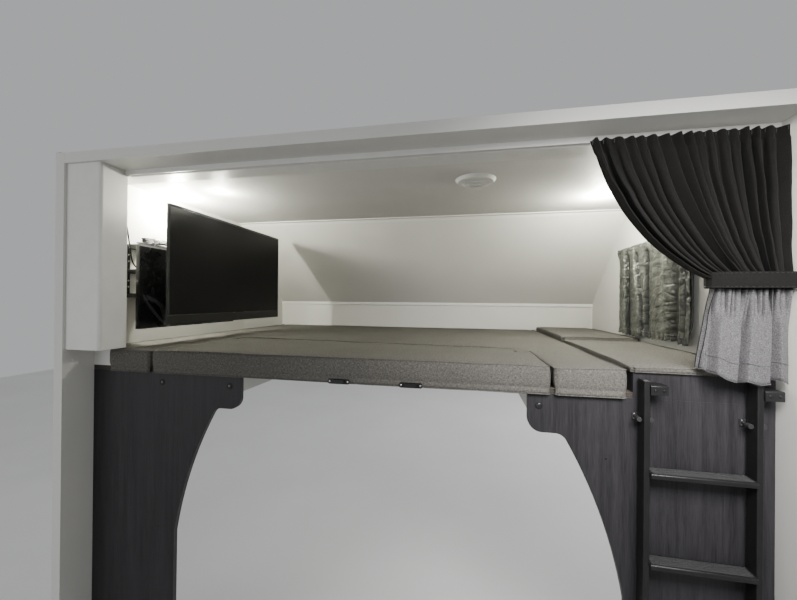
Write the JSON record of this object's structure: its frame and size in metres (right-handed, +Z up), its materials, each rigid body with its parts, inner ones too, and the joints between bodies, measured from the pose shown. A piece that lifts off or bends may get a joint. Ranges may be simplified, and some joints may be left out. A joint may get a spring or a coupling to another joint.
{
  "type": "motorhome over-cab bunk",
  "caption": "Over-cab bunk module of a motorhome: hollow nose with bed and cushions, cab partition panels with arched passage, boarding ladder, swing-out television, curtains.",
  "frame": {"origin": "middle of the roof panel's aft end face, where the module is joined to the coach roof", "axes": "+X to the passenger side, +Y forward over the cab, +Z up"},
  "size_m": [2.492, 1.776, 2.201],
  "materials": {
    "wall_lining": "satin laminate",
    "nose_gelcoat": "gloss moulding",
    "white_trim": "satin",
    "dark_laminate": "dark wood-grain laminate",
    "plywood": "plain",
    "tweed": "woven",
    "crinkle_cloth": "crinkled satin",
    "dark_curtain": "heavy drape",
    "black_steel": "satin powder coat",
    "aluminium": "satin",
    "black_moulding": "gloss",
    "satin_moulding": "satin",
    "cable_jacket": "satin",
    "screen_panel": "dark panel",
    "rubber": "matte",
    "amber_lens": "clear amber",
    "pane": "tinted"
  },
  "bodies": {
    "root": {"roof_panel": "wall_lining", "slope_panel": "wall_lining", "front_wall": "wall_lining", "floor_pan": "wall_lining", "side_wall_left": "wall_lining", "side_wall_right": "wall_lining", "nose_cap": "nose_gelcoat", "marker_lamps": "amber_lens", "corner_rail_left": "aluminium", "corner_rail_right": "aluminium", "window_frame": "black_steel", "window_ring": "white_trim", "window_glass": "pane", "header_beam": "white_trim", "curtain_track": "white_trim", "ledge_trim": "white_trim", "slope_trim": "white_trim", "left_jamb": "white_trim", "jamb_base": "white_trim", "ceiling_register": "white_trim", "register_louvre": "white_trim", "bulkhead_left": "dark_laminate", "bulkhead_right": "dark_laminate", "bunk_deck": "plywood", "bridge_board": "plywood", "footman_loops": "black_steel", "cushion_middle": "tweed", "cushion_main": "tweed", "step_riser": "dark_laminate", "step_top": "plywood", "step_rail": "dark_laminate", "near_pad": "tweed", "far_pad": "tweed", "ladder_clips": "black_moulding", "tv_wall_frame": "black_steel", "tv_hinge_pin": "black_steel", "window_curtain": "crinkle_cloth", "window_curtain_rod": "white_trim", "privacy_curtain": "dark_curtain", "curtain_tieback": "dark_curtain", "tv_outlet": "white_trim", "tv_lead": "cable_jacket", "tv_lead_plug": "aluminium"},
    "tv_swing": {"tv_swing_frame": "black_steel", "tv_board": "dark_laminate", "tv_tilt_cheeks": "black_steel", "tv_cable_hank": "cable_jacket", "tv_cable_block": "black_moulding"},
    "tv": {"tv_tilt_plate": "black_steel", "tv_housing": "black_moulding", "tv_chin": "satin_moulding", "tv_screen": "screen_panel"},
    "ladder": {"ladder_stiles": "black_steel", "ladder_treads": "black_steel", "ladder_hooks": "black_steel", "ladder_feet": "rubber"}
  },
  "joints": [
    {"name": "tv_swing_out", "type": "hinge", "parent": "root", "child": "tv_swing", "pos_m": [-1.078, 0.28, -0.412], "axis": [0, 0, -1], "range_deg": [0, 42]},
    {"name": "tv_tilt", "type": "hinge", "parent": "tv_swing", "child": "tv", "pos_m": [-1.004, 0.641, -0.391], "axis": [0, 1, 0], "range_deg": [-5, 12]},
    {"name": "ladder_pull", "type": "slide", "parent": "root", "child": "ladder", "axis": [0, -1, 0], "range_m": [0, 0.15]}
  ]
}
